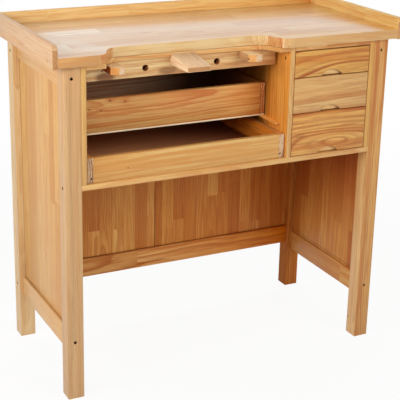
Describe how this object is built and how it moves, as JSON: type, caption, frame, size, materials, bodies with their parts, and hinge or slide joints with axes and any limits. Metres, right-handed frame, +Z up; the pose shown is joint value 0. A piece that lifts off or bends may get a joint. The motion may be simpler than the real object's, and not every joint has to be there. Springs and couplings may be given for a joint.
{
  "type": "jewelers bench",
  "caption": "Wooden jeweller's workbench with a rimmed worktop cut away at the seat, bench pin, mandrel board, pull-out armrests, sliding trays and a drawer bank.",
  "frame": {"origin": "on the floor, at the middle of the bench's overall outline, which reaches from the bench pin's nose to the rear legs", "axes": "+X to the right along the front, +Y to the rear, +Z up"},
  "size_m": [0.998, 0.483, 0.946],
  "materials": {
    "pine_pale": "satin",
    "pine_honey": "satin",
    "pine_amber": "satin",
    "pine_russet": "satin",
    "wood_plug": "satin",
    "screw_steel": "satin"
  },
  "bodies": {
    "bench": {"leg_front_left": "pine_honey", "leg_front_right": "pine_amber", "leg_rear_left": "pine_honey", "leg_rear_right": "pine_russet", "rail_lower_left": "pine_pale", "rail_upper_left": "pine_pale", "rail_lower_right": "pine_amber", "rail_upper_right": "pine_amber", "rail_lower_rear": "pine_amber", "rail_upper_rear": "pine_amber", "side_panel_left": "pine_honey", "side_panel_right": "pine_russet", "back_panel_left": "pine_russet", "back_panel_right": "pine_russet", "carcase_bottom": "pine_amber", "carcase_side_left": "pine_honey", "carcase_side_right": "pine_amber", "partition": "pine_honey", "subtop_left": "pine_amber", "subtop_right": "pine_honey", "worktop": "pine_pale", "rim_left": "pine_honey", "rim_right": "pine_amber", "rim_rear": "pine_honey", "pin_board": "pine_pale", "armrest_bearer": "pine_russet", "tray_cleats": "pine_amber", "drawer_cleats": "pine_amber", "frame_screws": "screw_steel", "rim_screws": "wood_plug"},
    "upper_tray": {"upper_tray_front": "pine_amber", "upper_tray_sides": "pine_amber", "upper_tray_back": "pine_amber", "upper_tray_bottom": "pine_pale"},
    "lower_tray": {"lower_tray_front": "pine_honey", "lower_tray_sides": "pine_honey", "lower_tray_back": "pine_honey", "lower_tray_bottom": "pine_russet", "lower_tray_screws": "screw_steel"},
    "top_drawer": {"drawer_1_front": "pine_amber", "drawer_1_sides": "pine_pale", "drawer_1_back": "pine_pale", "drawer_1_bottom": "pine_pale"},
    "middle_drawer": {"drawer_2_front": "pine_amber", "drawer_2_sides": "pine_pale", "drawer_2_back": "pine_pale", "drawer_2_bottom": "pine_pale"},
    "bottom_drawer": {"drawer_3_front": "pine_amber", "drawer_3_sides": "pine_pale", "drawer_3_back": "pine_pale", "drawer_3_bottom": "pine_pale"},
    "left_armrest": {"armrest_left": "pine_pale"},
    "right_armrest": {"armrest_right": "pine_pale"},
    "pin": {"bench_pin": "pine_pale"}
  },
  "joints": [
    {"name": "upper_tray_slide", "type": "slide", "parent": "bench", "child": "upper_tray", "axis": [0, -1, 0], "range_m": [0, 0.2]},
    {"name": "lower_tray_slide", "type": "slide", "parent": "bench", "child": "lower_tray", "axis": [0, -1, 0], "range_m": [0, 0.25]},
    {"name": "top_drawer_slide", "type": "slide", "parent": "bench", "child": "top_drawer", "axis": [0, -1, 0], "range_m": [0, 0.28]},
    {"name": "middle_drawer_slide", "type": "slide", "parent": "bench", "child": "middle_drawer", "axis": [0, -1, 0], "range_m": [0, 0.28]},
    {"name": "bottom_drawer_slide", "type": "slide", "parent": "bench", "child": "bottom_drawer", "axis": [0, -1, 0], "range_m": [0, 0.28]},
    {"name": "left_armrest_slide", "type": "slide", "parent": "bench", "child": "left_armrest", "axis": [0, -1, 0], "range_m": [0, 0.2]},
    {"name": "right_armrest_slide", "type": "slide", "parent": "bench", "child": "right_armrest", "axis": [0, -1, 0], "range_m": [0, 0.2]},
    {"name": "bench_pin_slide", "type": "slide", "parent": "bench", "child": "pin", "axis": [0, -1, 0], "range_m": [0, 0.025]}
  ]
}
